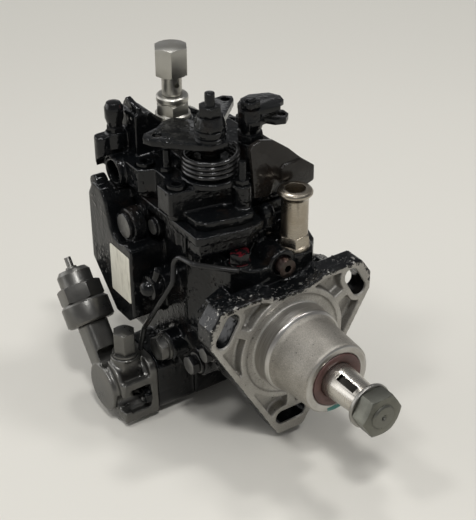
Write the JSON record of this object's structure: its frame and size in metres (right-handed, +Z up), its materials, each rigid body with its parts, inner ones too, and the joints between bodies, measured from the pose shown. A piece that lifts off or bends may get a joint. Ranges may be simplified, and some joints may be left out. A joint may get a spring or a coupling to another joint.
{
  "type": "diesel injection pump",
  "caption": "Rotary distributor diesel injection pump with keyed drive shaft, slotted flange, governor levers, timing device and rear outlets.",
  "frame": {"origin": "the drive axis at the front face of the mounting flange", "axes": "+Y from the drive end to the outlets, +X to the right seen from the drive end, +Z up"},
  "size_m": [0.1432, 0.2508, 0.2059],
  "materials": {
    "black_paint": "wet gloss black paint over the casting",
    "satin_black": "satin grey-black",
    "bright_steel": "ground bright",
    "olive_steel": "grey-olive passivated",
    "nickel": "satin nickel plate",
    "warm_tube": "warm-tinted plated tube",
    "bare_aluminium": "machined",
    "red_seal": "brown-red lip seal rubber",
    "red_paint": "red marking paint",
    "cream_label": "blank label sheet",
    "bronze": "bearing bronze",
    "hard_steel": "hardened, oiled",
    "spring_steel": "spring wire, oiled"
  },
  "bodies": {
    "housing": {"pump_housing": "black_paint", "shaft_seal": "red_seal", "drive_bush": "bronze", "vane_pump_ring": "hard_steel", "vane_pump_cover": "hard_steel", "governor_shaft": "hard_steel", "plunger_springs": "spring_steel", "distributor_head": "black_paint", "head_bolts": "black_paint", "delivery_valve_holders": "black_paint", "head_centre_plug": "black_paint", "shutoff_solenoid": "satin_black", "governor_cover": "black_paint", "cover_bolts": "black_paint", "full_load_screw": "black_paint", "capped_adjuster": "red_paint", "return_spring": "spring_steel", "stop_screws": "black_paint", "cable_bracket": "black_paint", "overflow_adapter": "nickel", "overflow_bolt": "nickel", "inlet_tube": "warm_tube", "regulating_valve": "red_paint", "shelf_bolt": "red_paint", "acorn_plug": "black_paint", "timing_cover_left": "satin_black", "timing_cover_right": "satin_black", "timing_bolts": "black_paint", "timing_spring": "spring_steel", "timing_solenoid": "satin_black", "timing_plugs": "black_paint", "type_plate": "cream_label", "side_plugs": "bare_aluminium", "side_banjo": "black_paint", "leak_pipe": "black_paint"},
    "drive": {"drive_shaft": "bright_steel", "shaft_washer": "bright_steel", "drive_nut": "olive_steel", "vane_rotor": "hard_steel", "pump_vanes": "hard_steel", "drive_gear": "hard_steel", "cross_disc": "hard_steel", "cam_disc": "hard_steel", "plunger": "bright_steel"},
    "governor": {"governor_gear": "hard_steel"},
    "weight_1": {"flyweight_1": "hard_steel"},
    "weight_2": {"flyweight_2": "hard_steel"},
    "weight_3": {"flyweight_3": "hard_steel"},
    "weight_4": {"flyweight_4": "hard_steel"},
    "sleeve": {"governor_sleeve": "hard_steel"},
    "lever": {"governor_lever": "hard_steel"},
    "collar": {"control_collar": "hard_steel"},
    "piston": {"timing_piston": "hard_steel"},
    "rollers": {"roller_ring": "hard_steel", "cam_rollers": "bright_steel"},
    "throttle": {"throttle_shaft": "black_paint", "throttle_lever": "black_paint", "throttle_nut": "black_paint"},
    "stop": {"stop_lever": "black_paint", "stop_nut": "black_paint"}
  },
  "joints": [
    {"name": "drive_spin", "type": "hinge", "parent": "housing", "child": "drive", "pos_m": [0, 0, 0], "axis": [0, 1, 0], "continuous": true},
    {"name": "governor_spin", "type": "hinge", "parent": "housing", "child": "governor", "pos_m": [0, 0.042, 0.0392], "axis": [0, 1, 0], "continuous": true},
    {"name": "sleeve_slide", "type": "slide", "parent": "housing", "child": "sleeve", "axis": [0, 1, 0], "range_m": [0, 0.0016]},
    {"name": "lever_pivot", "type": "hinge", "parent": "housing", "child": "lever", "pos_m": [0, 0.101, 0.024], "axis": [1, 0, 0], "range_deg": [-6.5, 0]},
    {"name": "collar_slide", "type": "slide", "parent": "housing", "child": "collar", "axis": [0, 1, 0], "range_m": [-0.00175, 0]},
    {"name": "piston_slide", "type": "slide", "parent": "housing", "child": "piston", "axis": [1, 0, 0], "range_m": [0, 0.006], "deforming": ["timing_spring"]},
    {"name": "roller_ring_turn", "type": "hinge", "parent": "housing", "child": "rollers", "pos_m": [0, 0.075, 0], "axis": [0, 1, 0], "range_deg": [-9, 0]},
    {"name": "throttle_turn", "type": "hinge", "parent": "housing", "child": "throttle", "pos_m": [-0.017, 0.053, 0.1], "axis": [0, 0, 1], "range_deg": [0, 35]},
    {"name": "stop_turn", "type": "hinge", "parent": "housing", "child": "stop", "pos_m": [0.0055, 0.049, 0.1], "axis": [0, 0, 1], "range_deg": [-25, 0]},
    {"name": "weight_1_swing", "type": "hinge", "parent": "governor", "child": "weight_1", "pos_m": [0.01025, 0.047, 0.02895], "axis": [-0.7071, 0, -0.7071], "range_deg": [0, 15.01]},
    {"name": "weight_2_swing", "type": "hinge", "parent": "governor", "child": "weight_2", "pos_m": [-0.01025, 0.047, 0.02895], "axis": [-0.7071, 0, 0.7071], "range_deg": [0, 15.01]},
    {"name": "weight_3_swing", "type": "hinge", "parent": "governor", "child": "weight_3", "pos_m": [-0.01025, 0.047, 0.04945], "axis": [0.7071, 0, 0.7071], "range_deg": [0, 15.01]},
    {"name": "weight_4_swing", "type": "hinge", "parent": "governor", "child": "weight_4", "pos_m": [0.01025, 0.047, 0.04945], "axis": [0.7071, 0, -0.7071], "range_deg": [0, 15.01]}
  ],
  "couplings": [
    {"joint": "governor_spin", "follows": "drive_spin", "ratio": -1.6667},
    {"joint": "lever_pivot", "follows": "sleeve_slide", "rad_per_m": -65.8},
    {"joint": "collar_slide", "follows": "sleeve_slide", "ratio": -1.06},
    {"joint": "roller_ring_turn", "follows": "piston_slide", "rad_per_m": -23.256},
    {"joint": "weight_1_swing", "follows": "sleeve_slide", "rad_per_m": 163.6},
    {"joint": "weight_2_swing", "follows": "sleeve_slide", "rad_per_m": 163.6},
    {"joint": "weight_3_swing", "follows": "sleeve_slide", "rad_per_m": 163.6},
    {"joint": "weight_4_swing", "follows": "sleeve_slide", "rad_per_m": 163.6}
  ]
}
